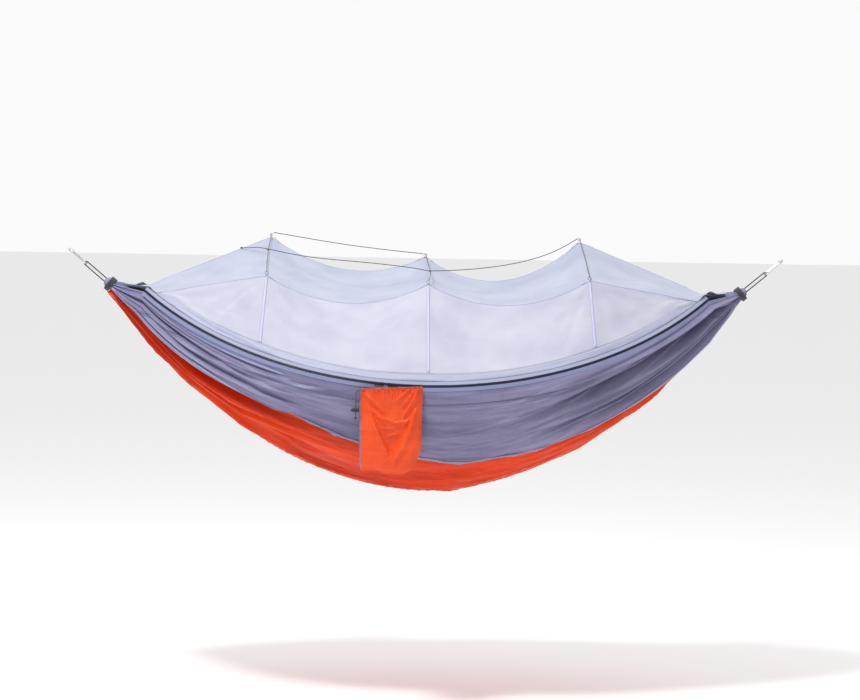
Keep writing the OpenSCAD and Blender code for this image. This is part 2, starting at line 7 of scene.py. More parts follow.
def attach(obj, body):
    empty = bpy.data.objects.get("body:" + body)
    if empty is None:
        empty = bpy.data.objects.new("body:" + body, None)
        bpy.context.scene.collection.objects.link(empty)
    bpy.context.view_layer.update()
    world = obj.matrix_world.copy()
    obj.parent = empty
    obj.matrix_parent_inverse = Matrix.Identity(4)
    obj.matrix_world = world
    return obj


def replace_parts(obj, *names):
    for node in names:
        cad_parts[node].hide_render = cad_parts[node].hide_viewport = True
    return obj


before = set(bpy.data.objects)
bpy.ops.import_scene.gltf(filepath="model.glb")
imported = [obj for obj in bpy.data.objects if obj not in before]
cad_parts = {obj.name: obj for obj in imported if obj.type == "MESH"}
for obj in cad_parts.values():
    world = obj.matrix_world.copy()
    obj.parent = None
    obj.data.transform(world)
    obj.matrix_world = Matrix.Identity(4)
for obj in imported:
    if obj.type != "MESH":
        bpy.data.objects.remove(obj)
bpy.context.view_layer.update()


def placed(name, data):
    """A new object in the scene."""
    thing = bpy.data.objects.new(name, data)
    bpy.context.scene.collection.objects.link(thing)
    return thing


# ---- the view ----
# The hammock hangs between two anchor points and is seen square on from its zipped side,
# from a little over its rim and far enough away that its ends keep their size.
view_target = Vector((1.187, 0, -0.3116))
view_distance = 9.0
view_azimuth = radians(-1.54)
view_elevation = radians(3.3)
view_roll = radians(0.99)
camera = bpy.data.cameras.new("view")
camera.lens = 114
camera.clip_end = 200
camera_object = placed("view", camera)
camera_object.location = view_target + view_distance * Vector(
    (sin(view_azimuth) * cos(view_elevation), -cos(view_azimuth) * cos(view_elevation),
     sin(view_elevation)))
look = (view_target - camera_object.location).to_track_quat("-Z", "Y")
camera_object.rotation_mode = "QUATERNION"
camera_object.rotation_quaternion = look @ Quaternion((0, 0, 1), view_roll)
bpy.context.scene.camera = camera_object

# ---- thin cords over the net ----
# Braided black polyester cord, 2.5 mm thick, tied between the loops at the corners of the
# net's roof. Three cross the roof, one runs along its rear edge, and two meet in knots over it.
half_span = 1.040
loop_rise = radians(40)
suspension_len = 0.100
wire_d = 0.008                    # the carabiner's wire
carabiner_in = 0.064              # its inside, from end to end
line_len = suspension_len + wire_d + carabiner_in
middle = Vector((half_span + line_len * cos(loop_rise), 0, -line_len * sin(loop_rise)))


def linear(code):
    """A colour given as sRGB hex, in the linear values that a shader takes."""
    values = [int(code[i:i + 2], 16) / 255 for i in (1, 3, 5)]
    return [v / 12.92 if v <= 0.04045 else ((v + 0.055) / 1.055) ** 2.4 for v in values] + [1]


def add_node(tree, kind, settings=(), inputs=(), links=()):
    """Add a node with its settings and its inputs' values, and link sockets into it."""
    node = tree.nodes.new(kind)
    for name, value in dict(settings).items():
        setattr(node, name, value)
    for name, value in dict(inputs).items():
        node.inputs[name].default_value = value
    for name, socket in dict(links).items():
        tree.links.new(socket, node.inputs[name])
    return node


def new_material(name):
    """An empty node material, its tree and its texture coordinates."""
    material = bpy.data.materials.new(name)
    material.use_nodes = True
    material.node_tree.nodes.clear()
    return material, material.node_tree, add_node(material.node_tree, "ShaderNodeTexCoord")


def surface(tree, values, colour, reliefs=(), **more):
    """Close a material with its plain values, its colour and its reliefs, each over the last.

    A relief is a height, its strength, and the depth in metres that it stands for.
    """
    under = {}
    for height, strength, depth in reliefs:
        bump = add_node(tree, "ShaderNodeBump", {}, {"Strength": strength, "Distance": depth},
                        {"Height": height, **under})
        under = {"Normal": bump.outputs[0]}
    shader = add_node(tree, "ShaderNodeBsdfPrincipled", {}, values,
                      {"Base Color": colour.outputs[2], **more, **under})
    add_node(tree, "ShaderNodeOutputMaterial", links={"Surface": shader.outputs[0]})


# Braided polyester: a dull black with a fibrous sheen, its strands standing out as cells.
polyester_cord, tree, where = new_material("braided_polyester_cord")
strands = add_node(tree, "ShaderNodeTexVoronoi", inputs={"Scale": 850.0},
                   links={"Vector": where.outputs["Object"]})
shade = add_node(tree, "ShaderNodeMix", {"data_type": "RGBA"},
                 {6: linear("#15161a"), 7: linear("#34363c")}, {0: strands.outputs["Distance"]})
surface(tree, {"Roughness": 0.72, "IOR": 1.55, "Sheen Weight": 0.25, "Sheen Roughness": 0.5},
        shade, [(strands.outputs["Distance"], 0.6, 0.0004)])


def in_place(points, origin=middle):
    """Points in millimetres from the middle of the gathers, as places in the row's frame."""
    return [origin + Vector(p) / 1000 for p in points]


def piece_of(name, data, materials, body):
    """A finished object of the scene that rides on one of the frame's bodies."""
    if isinstance(data, bmesh.types.BMesh):
        mesh = bpy.data.meshes.new(name)
        data.to_mesh(mesh)
        data.free()
        data = mesh
    for material in materials:
        data.materials.append(material)
    piece = placed(name, data)
    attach(piece, body)
    return piece


def lay_cord(name, points, diameter, material, body="hammock"):
    """A round cord along points, as one smooth curve."""
    curve = bpy.data.curves.new(name, "CURVE")
    curve.dimensions = "3D"
    curve.bevel_depth = diameter / 2
    curve.bevel_resolution = 3
    curve.resolution_u = 6
    curve.use_fill_caps = True
    line = curve.splines.new("BEZIER")
    line.bezier_points.add(len(points) - 1)
    for knot, point in zip(line.bezier_points, points):
        knot.co = point
        knot.handle_left_type = knot.handle_right_type = "AUTO"
    return piece_of(name, curve, [material], body)


top_cord_d = 0.0025
top_routes = {
    "station_cord_left": [(-520, -214, 57), (-521, -180, 63), (-523, -110, 78), (-524, -30, 99),
                          (-524, 50, 120), (-523, 120, 140), (-521, 175, 156), (-520, 214, 170)],
    "station_cord_middle": [(2, -214, 38), (5, -180, 41), (9, -120, 50), (10, -60, 61),
                            (8, 20, 73), (5, 100, 86), (3, 165, 99), (1, 214, 111)],
    "station_cord_right": [(520, -214, 57), (521, -180, 63), (522, -110, 78), (523, -30, 99),
                           (523, 50, 120), (522, 120, 140), (521, 175, 156), (520, 214, 170)],
    "top_cord_rear": [(-513, 222, 175), (-480, 222, 170), (-410, 222, 159), (-330, 222, 147),
                      (-250, 222, 136), (-170, 222, 127), (-90, 222, 119), (-35, 222, 114),
                      (-7, 222, 112)],
    "top_cord_left": [(-618.5, 192, 122.6), (-600, 164, 123), (-565, 110, 126), (-528, 56, 123),
                      (-470, 42, 112), (-400, 30, 101), (-320, 15, 93), (-230, -4, 87),
                      (-140, -24, 80), (-60, -42, 72), (7, -58, 62)],
    "top_cord_right": [(13, -58, 62), (60, -34, 63), (120, -4, 66), (190, 32, 72), (270, 76, 83),
                       (350, 122, 100), (420, 162, 123), (475, 192, 149), (513, 214, 171)],
}
for node, route in top_routes.items():
    points = in_place(route)
    piece = lay_cord(node + "_braid", points, top_cord_d, polyester_cord)
    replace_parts(piece, node)


def tie_knot(name, centre, size, diameter, turn, body="hammock"):
    """A small overhand knot: a cord crossing itself three times."""
    steps = 30
    points = []
    for k in range(steps + 1):
        a = 2 * pi * k / steps
        spot = Vector((sin(a) + 2 * sin(2 * a), cos(a) - 2 * cos(2 * a), -1.3 * sin(3 * a)))
        spot.rotate(turn)
        points.append(centre + spot * (size - diameter) / 6)
    return lay_cord(name, points, diameter, polyester_cord, body)


top_knots = [(-620, 194.6, 122.3), (-525, 52, 121), (10, -60, 61)]
for k, spot in enumerate(top_knots):
    piece = tie_knot("top_knot_%d" % (k + 1), in_place([spot])[0], 0.0078, top_cord_d,
                     Quaternion((1, 0.3 * k, 0.2), 0.5 + k))
    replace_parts(piece, "top_cord_knots")

# The pocket's drawstring leaves the left side of its mouth and hangs down beside it as two
# strands of the same cord, which run through a cord lock and end in one knot.
pocket_top = middle + Vector((-0.115, -0.458, -0.304))
strand_route = [(-96, -12, -1), (-101, -12, -1.2), (-106, -12, -2.2), (-109.5, -12, -4.5),
                (-111.4, -12, -8), (-112, -12, -12), (-112, -12, -20), (-112, -12, -40),
                (-112, -12, -60), (-112, -12, -84)]
strand_end = tie_knot("drawstring_end_knot", pocket_top + Vector((-0.112, -0.012, -0.0877)),
                      0.009, top_cord_d, Quaternion((1, 0, 0), pi / 2), "pocket")
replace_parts(strand_end, "drawstring_knot")
for name, shift in (("front", -2), ("rear", 2)):
    points = in_place([(x, y + shift, z) for x, y, z in strand_route], pocket_top)
    piece = lay_cord("drawstring_strand_" + name, points, top_cord_d, polyester_cord, "pocket")
    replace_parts(piece, "pocket_drawstring")

# ---- bed ----
# Three lengths of thin parachute nylon sewn side by side: orange along the middle, grey-violet
# along both sides. The ends are gathered, so the cloth runs into long folds towards them.
arc_r = 1.200
arc_tilt = radians(40)
zip_half_angle = radians(50)
zip_drop = 0.290
zip_reach = 0.450
arc_centre = Vector((0, -zip_reach + arc_r * cos(arc_tilt), -zip_drop + arc_r * sin(arc_tilt)))
zip_x = arc_r * sin(zip_half_angle)
bundle_r = 0.020
bed_sag = 0.655
bow_power = 0.87
rim_room = 0.008


def mix(a, b, u):
    return a + (b - a) * u


def clamp(v, low=0.0, high=1.0):
    return min(high, max(low, v))


def ease(low, high, v):
    u = clamp((v - low) / (high - low))
    return u * u * (3 - 2 * u)


def arc_drop(x):
    return arc_r - sqrt(arc_r ** 2 - x ** 2)


def end_part(x):
    return max(0.0, (abs(x) - zip_x) / (half_span - zip_x))


def rim_half(x):
    if end_part(x) > 0:
        return mix(rim_half(zip_x), bundle_r * 0.35, end_part(x))
    return zip_reach - arc_drop(x) * cos(arc_tilt)


def rim_z(x):
    if end_part(x) > 0:
        return mix(rim_z(zip_x), bundle_r * 0.4, end_part(x))
    return -zip_drop + arc_drop(x) * sin(arc_tilt)


def low_z(x):
    return -bundle_r - (bed_sag - bundle_r) * (1 - (x / half_span) ** 2)


def bed_at(x, q):
    """A place on the smooth bed, q running from -1 at the front rim over 0 to 1 at the rear."""
    turn = pi / 2 * (1 - min(1.0, abs(q)))
    top = rim_z(x) - rim_room
    side = -1 if q < 0 else 1
    return Vector((x, side * rim_half(x) * max(0.0, cos(turn)) ** bow_power,
                   top - (top - low_z(x)) * max(0.0, sin(turn)) ** bow_power))


def seam_q(x, side):
    part = 0.57 - side * 0.14 * sin(pi / 2 * clamp((x + 0.2) / 0.6, -1, 1))
    return side * (1 - asin(part ** (1 / bow_power)) / (pi / 2))


def bed_outward(x, q):
    """The direction out of the bed's underside."""
    dx = bed_at(x + 0.001, q) - bed_at(x - 0.001, q)
    dq = bed_at(x, min(1, q + 0.01)) - bed_at(x, max(-1, q - 0.01))
    return dq.cross(dx).normalized()


def fold(x, q):
    """How far the cloth stands off the smooth bed: long folds that run to the gathers."""
    near = ease(0.22, 0.95, abs(x) / half_span)
    width = 1.6 * (rim_half(x) + rim_z(x) - low_z(x))
    side = 3.7 if x > 0 else 0.0
    broad = noise.noise((q * 6.5, x * 0.9 + side, 1.3))
    pleat = noise.noise((q * 14, x * 0.7 + side, 5.1))
    crease = noise.noise((q * 31, x * 1.1, 9.7 + side))
    edges = 1 + 1.1 * ease(0.35, 0.75, abs(q))
    deep = width * near * edges * (0.040 * broad + 0.056 * pleat + 0.026 * crease)
    slack = (1 - near) * (0.0090 * noise.noise((q * 5.5 + 0.6 * x, x * 1.6, 3.3))
                          + 0.0056 * noise.noise((q * 16 + 0.9 * x, x * 2.2, 7.7)))
    # Sharp creases that wander along the cloth, and one long crease low on the left.
    sharp = 0.0
    for rate, high, seed in ((5.0, 0.0074, 11.0), (9.0, 0.0056, 23.0), (17.0, 0.0030, 37.0)):
        line = abs(noise.noise((q * rate + 1.1 * x, x * 1.25 + 0.5 * q, seed)))
        sharp += high * max(0.0, 1 - line * 8) ** 1.5
    across = q + 0.27 - 0.10 * x
    long_crease = exp(-(across / 0.012) ** 2) * ease(0.25, -0.05, x)
    shelf = ease(0.10, 0.0, across) * ease(-0.06, 0.0, across) * ease(0.35, 0.0, x)
    total = (deep + slack + sharp * ease(0.98, 0.80, abs(x) / half_span)
             + 0.0085 * long_crease + 0.0060 * shelf)
    # Behind the stuff pocket the cloth is pressed flat.
    pressed = ease(0.17, 0.12, abs(x + 0.115)) * ease(-0.35, -0.50, q)
    return total - pressed * max(0.0, total + 0.001)


def cloth_at(x, q, out=0.0):
    """A place on the folded cloth, out metres off its underside."""
    return middle + bed_at(x, q) + bed_outward(x, q) * (fold(x, q) * ease(1.0, 0.93, abs(q)) + out)


def cloth_grid(name, columns, rows, place, width, length, material, body="hammock",
               thickness=0.0008, inwards=-1):
    """A sheet over a grid: place(u, v) puts each point, u along and v across the cloth.

    The UV map is the cloth's own flat cut, in metres, for weave and stitching.
    """
    bm = bmesh.new()
    cut = bm.loops.layers.uv.new("cut")
    bmesh.ops.create_grid(bm, x_segments=columns, y_segments=rows, size=0.5)
    flat = {v: (v.co.x + 0.5, v.co.y + 0.5) for v in bm.verts}
    for face in bm.faces:
        face.smooth = True
        for corner in face.loops:
            u, v = flat[corner.vert]
            corner[cut].uv = (u * length, v * width)
    for v in bm.verts:
        v.co = place(*flat[v])
    piece = piece_of(name, bm, [material], body)
    skin = piece.modifiers.new("thickness", "SOLIDIFY")
    skin.thickness = thickness
    skin.offset = inwards
    return piece


def nylon(name, colour, deep, glow):
    """Calendered parachute nylon: a thin plain weave with a soft satin gloss.

    Threads lie about 0.25 mm apart, too fine to show, so the ripstop grid of doubled threads
    is drawn at 6 mm and the weave at 1.2 mm.
    """
    material, tree, where = new_material(name)
    grid = add_node(tree, "ShaderNodeTexBrick",
                    {"offset": 0.0, "offset_frequency": 1, "squash": 1.0},
                    {"Scale": 1.0, "Mortar Size": 0.0004, "Mortar Smooth": 0.6,
                     "Brick Width": 0.006, "Row Height": 0.006},
                    {"Vector": where.outputs["UV"]})
    warp = add_node(tree, "ShaderNodeTexWave",
                    {"wave_type": "BANDS", "bands_direction": "X"}, {"Scale": 265.0},
                    {"Vector": where.outputs["UV"]})
    weft = add_node(tree, "ShaderNodeTexWave",
                    {"wave_type": "BANDS", "bands_direction": "Y"}, {"Scale": 265.0},
                    {"Vector": where.outputs["UV"]})
    weave = add_node(tree, "ShaderNodeMath", {"operation": "MULTIPLY"},
                     links={0: warp.outputs["Fac"], 1: weft.outputs["Fac"]})
    # Creases left from the stuff sack, stretched along the load. Where they lie low the colour
    # turns to the deep tone, which is painted shade in the creases.
    stretch = add_node(tree, "ShaderNodeMapping", inputs={"Scale": (2.2, 16.0, 1.0)},
                       links={"Vector": where.outputs["UV"]})
    crease = add_node(tree, "ShaderNodeTexNoise",
                      inputs={"Scale": 1.0, "Detail": 5.0, "Roughness": 0.62},
                      links={"Vector": stretch.outputs[0]})
    crumple = add_node(tree, "ShaderNodeTexVoronoi", {"feature": "DISTANCE_TO_EDGE"},
                       {"Scale": 9.0}, {"Vector": where.outputs["UV"]})
    crumpled = add_node(tree, "ShaderNodeMapRange",
                        {"interpolation_type": "SMOOTHSTEP"},
                        {"From Max": 0.12},
                        {"Value": crumple.outputs["Distance"]})
    painted_fold_shade = add_node(tree, "ShaderNodeMapRange", {},
                    {"From Min": 0.32, "From Max": 0.68}, {"Value": crease.outputs["Fac"]})
    shade = add_node(tree, "ShaderNodeMix", {"data_type": "RGBA"},
                     {6: linear(deep), 7: linear(colour)}, {0: painted_fold_shade.outputs[0]})
    thread = add_node(tree, "ShaderNodeMix", {"data_type": "RGBA", "blend_type": "MULTIPLY"},
                      {0: 0.10}, {6: shade.outputs[2], 7: grid.outputs["Color"]})
    surface(tree, {"Roughness": 0.44, "IOR": 1.53, "Specular IOR Level": 0.22, "Sheen Weight": 0.08,
                   "Sheen Roughness": 0.35, "Sheen Tint": linear(glow)},
            thread, [(crease.outputs["Fac"], 0.8, 0.006), (crumpled.outputs[0], 0.25, 0.003),
                     (weave.outputs[0], 0.12, 0.0002)])
    return material


# The second tone of each nylon is the painted shade in its creases.
orange_nylon = nylon("orange_parachute_nylon", "#f04606", "#b82203", "#ff8a50")
pocket_nylon = nylon("orange_pocket_nylon", "#f35728", "#d94416", "#ffa070")
grey_nylon = nylon("grey_violet_parachute_nylon", "#938fae", "#625f80", "#b9c2de")

bed_end = half_span - 0.002


def bed_x(u):
    return bed_end * sin(pi / 2 * (2 * u - 1))


cloth_len = 2.60
centre_cut = 0.78
side_cut = 0.22
centre_panel = cloth_grid(
    "bed_centre_cloth", 240, 196,
    lambda u, v: cloth_at(bed_x(u), mix(seam_q(bed_x(u), -1), seam_q(bed_x(u), 1), v), -0.0004),
    centre_cut, cloth_len, orange_nylon)
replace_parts(centre_panel, "bed_centre_panel")
front_panel = cloth_grid(
    "bed_front_cloth", 240, 130,
    lambda u, v: cloth_at(bed_x(u), mix(-1, seam_q(bed_x(u), -1), v), -0.0004),
    side_cut, cloth_len, grey_nylon)
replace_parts(front_panel, "bed_front_panel")
rear_panel = cloth_grid(
    "bed_rear_cloth", 240, 90,
    lambda u, v: cloth_at(bed_x(u), mix(seam_q(bed_x(u), 1), 1, v), -0.0004),
    side_cut, cloth_len, grey_nylon)
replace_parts(rear_panel, "bed_rear_panel")

# ---- bed seams and hems ----
# The panels are joined by flat felled seams, 10 mm wide, with two rows of stitches. Each rim
# is turned in twice as a hem 22 mm wide, sewn along its inner edge.


def stitched(name, cloth, thread, rows_at, stitch=0.0035):
    """Doubled nylon with rows of lockstitch, drawn from the cut's own distances.

    rows_at are the rows' places across the strip in metres; a stitch is 3.5 mm long.
    """
    material, tree, where = new_material(name)
    parts = add_node(tree, "ShaderNodeSeparateXYZ", links={0: where.outputs["UV"]})
    beat = add_node(tree, "ShaderNodeMath", {"operation": "PINGPONG"}, {1: stitch / 2},
                    {0: parts.outputs["X"]})
    dash = add_node(tree, "ShaderNodeMath", {"operation": "GREATER_THAN"}, {1: stitch * 0.12},
                    {0: beat.outputs[0]})
    mask = None
    for place in rows_at:
        off = add_node(tree, "ShaderNodeMath", {"operation": "SUBTRACT"}, {1: place},
                       {0: parts.outputs["Y"]})
        away = add_node(tree, "ShaderNodeMath", {"operation": "ABSOLUTE"},
                        links={0: off.outputs[0]})
        row = add_node(tree, "ShaderNodeMath", {"operation": "LESS_THAN"}, {1: 0.0005},
                       {0: away.outputs[0]})
        if mask is None:
            mask = row
        else:
            mask = add_node(tree, "ShaderNodeMath", {"operation": "MAXIMUM"},
                            links={0: mask.outputs[0], 1: row.outputs[0]})
    sewn = add_node(tree, "ShaderNodeMath", {"operation": "MULTIPLY"},
                    links={0: mask.outputs[0], 1: dash.outputs[0]})
    pucker = add_node(tree, "ShaderNodeTexNoise", inputs={"Scale": 120.0, "Detail": 3.0},
                      links={"Vector": where.outputs["UV"]})
    base = add_node(tree, "ShaderNodeMix", {"data_type": "RGBA"},
                    {6: linear(cloth[0]), 7: linear(cloth[1])}, {0: pucker.outputs["Fac"]})
    shade = add_node(tree, "ShaderNodeMix", {"data_type": "RGBA"}, {7: linear(thread)},
                     {0: sewn.outputs[0], 6: base.outputs[2]})
    surface(tree, {"Roughness": 0.55, "IOR": 1.53, "Sheen Weight": 0.2}, shade,
            [(pucker.outputs["Fac"], 0.5, 0.0012), (sewn.outputs[0], 0.8, 0.0005)])
    return material


seam_w = 0.010
grey_seam = stitched("felled_nylon_seam", ("#6d7298", "#7f85aa"), "#b9bdd6", (0.0022, 0.0078))
grey_hem = stitched("hemmed_grey_nylon", ("#7c82a8", "#8c92b8"), "#c3c7de", (0.0030, 0.0190))


def q_share(x, d):
    return d / (rim_half(x) + rim_z(x) - low_z(x)) * 1.3


for side, name in ((-1, "front"), (1, "rear")):
    seam = cloth_grid(
        "bed_%s_felled_seam" % name, 240, 6,
        lambda u, v, s=side: cloth_at(
            bed_x(u), seam_q(bed_x(u), s) + mix(-1, 1, v) * q_share(bed_x(u), seam_w / 2), 0.0012),
        seam_w, cloth_len, grey_seam, thickness=0.0014)
    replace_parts(seam, "bed_%s_seam" % name)
hem_w = 0.022


def hem_at(x, side, v, out):
    """The turned hem: its upper third stands over the panel, up to the zip or the net."""
    if v < 1 / 3:
        top = 0.004 if side > 0 else -0.005
        return middle + Vector((x, side * (rim_half(x) - 0.001),
                                rim_z(x) + mix(top, -rim_room, 3 * v)))
    q = side * (1 - q_share(x, hem_w) * (v - 1 / 3) * 1.5)
    return middle + bed_at(x, q) + bed_outward(x, q) * out


for side, name, node in ((-1, "front", "front_rim_hem"), (1, "rear", "rear_rim_hem")):
    hem = cloth_grid(
        "%s_turned_hem" % name, 240, 9,
        lambda u, v, s=side: hem_at(bed_x(u), s, v, -0.0030),
        hem_w, cloth_len, grey_hem, thickness=0.0012, inwards=side)
    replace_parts(hem, node)
# The hem's stitches show on the outside as a puckered line along the front panel. The crease's
# shade there is painted as a dark strip, with the stitches drawn over it.
hem_line_down = 0.042             # below the rim
hem_line_w = 0.003
hem_shade_and_stitches = stitched("hem_stitches_on_painted_shade", ("#3f4568", "#565c82"), "#6a7095", (0.002,))
hem_line = cloth_grid(
    "front_hem_stitches_on_painted_shade", 240, 2,
    lambda u, v: cloth_at(bed_x(u), -1 + q_share(bed_x(u), hem_line_down + hem_line_w * v), 0.0007),
    hem_line_w, cloth_len, hem_shade_and_stitches, thickness=0.0010)

# ---- zip ----
# A navy nylon coil zip as long as the net, sewn to the front rim: a grey woven tape below and
# a pale one above, each with its moulded coil, and a metal stop at each end of each coil.


def zip_at(angle, m, w):
    """A place on the zip in the middle's frame: m out to the front, w up."""
    radius = arc_r + m * cos(arc_tilt) - w * sin(arc_tilt)
    rise = m * sin(arc_tilt) + w * cos(arc_tilt)
    return (arc_centre
            + radius * Vector((sin(angle), -cos(angle) * cos(arc_tilt),
                               -cos(angle) * sin(arc_tilt)))
            + rise * Vector((0, -sin(arc_tilt), cos(arc_tilt))))


# Woven polyester tape: matt, with a rib of 1 mm across it.
def woven_tape(name, colour, light):
    material, tree, where = new_material(name)
    rib = add_node(tree, "ShaderNodeTexWave", {"wave_type": "BANDS", "bands_direction": "X"},
                   {"Scale": 320.0}, {"Vector": where.outputs["UV"]})
    herring = add_node(tree, "ShaderNodeTexWave",
                       {"wave_type": "BANDS", "bands_direction": "DIAGONAL"}, {"Scale": 260.0},
                       {"Vector": where.outputs["UV"]})
    weave = add_node(tree, "ShaderNodeMath", {"operation": "ADD"},
                     links={0: rib.outputs["Fac"], 1: herring.outputs["Fac"]})
    shade = add_node(tree, "ShaderNodeMix", {"data_type": "RGBA"},
                     {6: linear(colour), 7: linear(light)}, {0: rib.outputs["Fac"]})
    surface(tree, {"Roughness": 0.75, "IOR": 1.55, "Sheen Weight": 0.2}, shade,
            [(weave.outputs[0], 0.4, 0.0003)])
    return material


pale_tape = woven_tape("woven_pale_zip_tape", "#8b8fa9", "#989cb5")
grey_tape = woven_tape("woven_grey_zip_tape", "#777da2", "#858bb0")

# Moulded nylon coil: smooth and a little glossy, navy.
zip_coil_nylon, tree, where = new_material("moulded_nylon_zip_coil")
tint = add_node(tree, "ShaderNodeTexNoise", inputs={"Scale": 40.0, "Detail": 2.0},
                links={"Vector": where.outputs["Object"]})
shade = add_node(tree, "ShaderNodeMix", {"data_type": "RGBA"},
                 {6: linear("#0d1328"), 7: linear("#182040")}, {0: tint.outputs["Fac"]})
surface(tree, {"Roughness": 0.38, "IOR": 1.53}, shade)

coil_r = 0.0017
coil_w = 0.0021
tape_w = 0.012
tape_gap = 0.0003
tape_lean = radians(38)
arc_axis = Vector((0, -sin(arc_tilt), cos(arc_tilt)))


def sweep_zip(name, node, section, steps, material, ridge=0.0):
    """Spin a section of the zip about the arc's axis, from one end of the net to the other.

    section is a loop of (m, w) places; ridge swells every other ring, as a coil's turns do.
    """
    bm = bmesh.new()
    centre_m = sum(m for m, w in section) / len(section)
    centre_w = sum(w for m, w in section) / len(section)
    first = [bm.verts.new(middle + zip_at(-zip_half_angle, m, w)) for m, w in section]
    edges = [bm.edges.new((a, b)) for a, b in zip(first, first[1:] + first[:1])]
    bmesh.ops.spin(bm, geom=first + edges, cent=middle + arc_centre, axis=arc_axis,
                   angle=2 * zip_half_angle, steps=steps, use_duplicate=False)
    bmesh.ops.remove_doubles(bm, verts=bm.verts[:], dist=1e-6)
    bmesh.ops.holes_fill(bm, edges=[e for e in bm.edges if e.is_boundary], sides=0)
    along = bm.loops.layers.uv.new("cut")
    turn_of = {}
    for v in bm.verts:
        spot = v.co - middle - arc_centre
        turn_of[v] = asin(clamp(spot.x / (spot - spot.dot(arc_axis) * arc_axis).length, -1, 1))
    for face in bm.faces:
        face.smooth = len(section) > 4
        for k, corner in enumerate(face.loops):
            v = corner.vert
            line = middle + zip_at(turn_of[v], centre_m, centre_w)
            corner[along].uv = ((turn_of[v] + zip_half_angle) * arc_r, (v.co - line).length)
    if ridge:
        for v in bm.verts:
            ring = round((turn_of[v] + zip_half_angle) / (2 * zip_half_angle) * steps)
            line = middle + zip_at(turn_of[v], centre_m, centre_w)
            v.co = line + (v.co - line) * (1 + ridge if ring % 2 else 1 - ridge)
    bmesh.ops.recalc_face_normals(bm, faces=bm.faces[:])
    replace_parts(piece_of(name, bm, [material], "hammock"), node)


def round_section(w, r, sides):
    return [(r * cos(2 * pi * k / sides), w + r * sin(2 * pi * k / sides)) for k in range(sides)]


coil_turns = 700                  # drawn at 3 mm, twice the real pitch, so that turns show
sweep_zip("zip_lower_coil_turns", "zip_lower_coil", round_section(-coil_w, coil_r, 8),
          2 * coil_turns, zip_coil_nylon, ridge=0.14)
sweep_zip("zip_upper_coil_turns", "zip_upper_coil", round_section(coil_w, coil_r, 8),
          2 * coil_turns, zip_coil_nylon, ridge=0.14)
tape_top = -coil_w - coil_r - tape_gap
sweep_zip("zip_lower_woven_tape", "zip_lower_tape",
          [(0.0008, tape_top), (0.0018, tape_top), (0.0018, tape_top - tape_w),
           (0.0008, tape_top - tape_w)], 160, grey_tape)


def leaning(a, b):
    """A place on the upper tape, which leans back towards the net."""
    return (a * cos(tape_lean) - b * sin(tape_lean),
            coil_w + coil_r + tape_gap + a * sin(tape_lean) + b * cos(tape_lean))


sweep_zip("zip_upper_woven_tape", "zip_upper_tape",
          [leaning(-0.0005, 0.0005), leaning(0.0005, 0.0005),
           leaning(0.0005, 0.0005 + tape_w), leaning(-0.0005, 0.0005 + tape_w)],
          160, pale_tape)

# Black painted zinc: the stops, the two sliders and the bars of their pulls.
painted_zinc, tree, where = new_material("black_painted_zinc")
wear = add_node(tree, "ShaderNodeTexNoise", inputs={"Scale": 600.0, "Detail": 3.0},
                links={"Vector": where.outputs["Object"]})
worn = add_node(tree, "ShaderNodeMapRange", {}, {"From Min": 0.62, "From Max": 0.74},
                {"Value": wear.outputs["Fac"]})
shade = add_node(tree, "ShaderNodeMix", {"data_type": "RGBA"},
                 {6: linear("#17181c"), 7: linear("#4a4c52")}, {0: worn.outputs[0]})
surface(tree, {"Roughness": 0.35, "IOR": 1.5}, shade)


def finish_node(node, material):
    """Give a carried-over solid its finish."""
    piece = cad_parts[node]
    if piece.data.materials:
        for k in range(len(piece.data.materials)):
            piece.data.materials[k] = material
    else:
        piece.data.materials.append(material)


for node in ("zip_end_stops", "zip_slider_left", "zip_slider_right", "zip_pull_left",
             "zip_pull_right"):
    finish_node(node, painted_zinc)

# ---- net ----
# A house of fine polyester mosquito mesh: a front wall on a cloth strip over the zip, a
# rear wall sewn to the rear rim, and a long roof that sags between three pairs of corners.
net_x = 0.880
station_x = 0.520
roof_half = 0.220
corner_height = {-1: 0.043, 1: 0.160}
middle_height = {-1: 0.023, 1: 0.100}


def roof_sag(x, side):
    return 0.074 if side < 0 else 0.077 if x < 0 else 0.105


def roof_y(x):
    if abs(x) < station_x:
        return roof_half
    return mix(roof_half, rim_half(net_x) - 0.014, (abs(x) - station_x) / (net_x - station_x))


def roof_z(x, side):
    a = abs(x)
    if a < station_x:
        u = a / station_x
        return (mix(middle_height[side], corner_height[side], u)
                - roof_sag(x, side) * 4 * u * (1 - u))
    end = rim_z(net_x) + 0.022 if side < 0 else 0.014
    return mix(corner_height[side], end, (a - station_x) / (net_x - station_x))


def roof_edge(x, side):
    return Vector((x, side * roof_y(x), roof_z(x, side)))


def roof_over(angle, side):
    return roof_edge(clamp(sin(angle) / sin(zip_half_angle), -1, 1) * net_x, side)


def step_to(a, b, d):
    return a + (b - a).normalized() * d


def hem_low(angle):
    return zip_at(angle, -tape_w * sin(tape_lean) - 0.001,
                  coil_w + coil_r + 0.0015 + tape_w * cos(tape_lean))


def hem_part(angle):
    return min(0.026, (roof_over(angle, -1) - hem_low(angle)).length * 0.4)


def wall_low(angle):
    return step_to(hem_low(angle), roof_over(angle, -1), hem_part(angle) + 0.001)


def rear_low(angle):
    x = arc_r * sin(angle)
    return Vector((x, rim_half(x), rim_z(x) + 0.004))


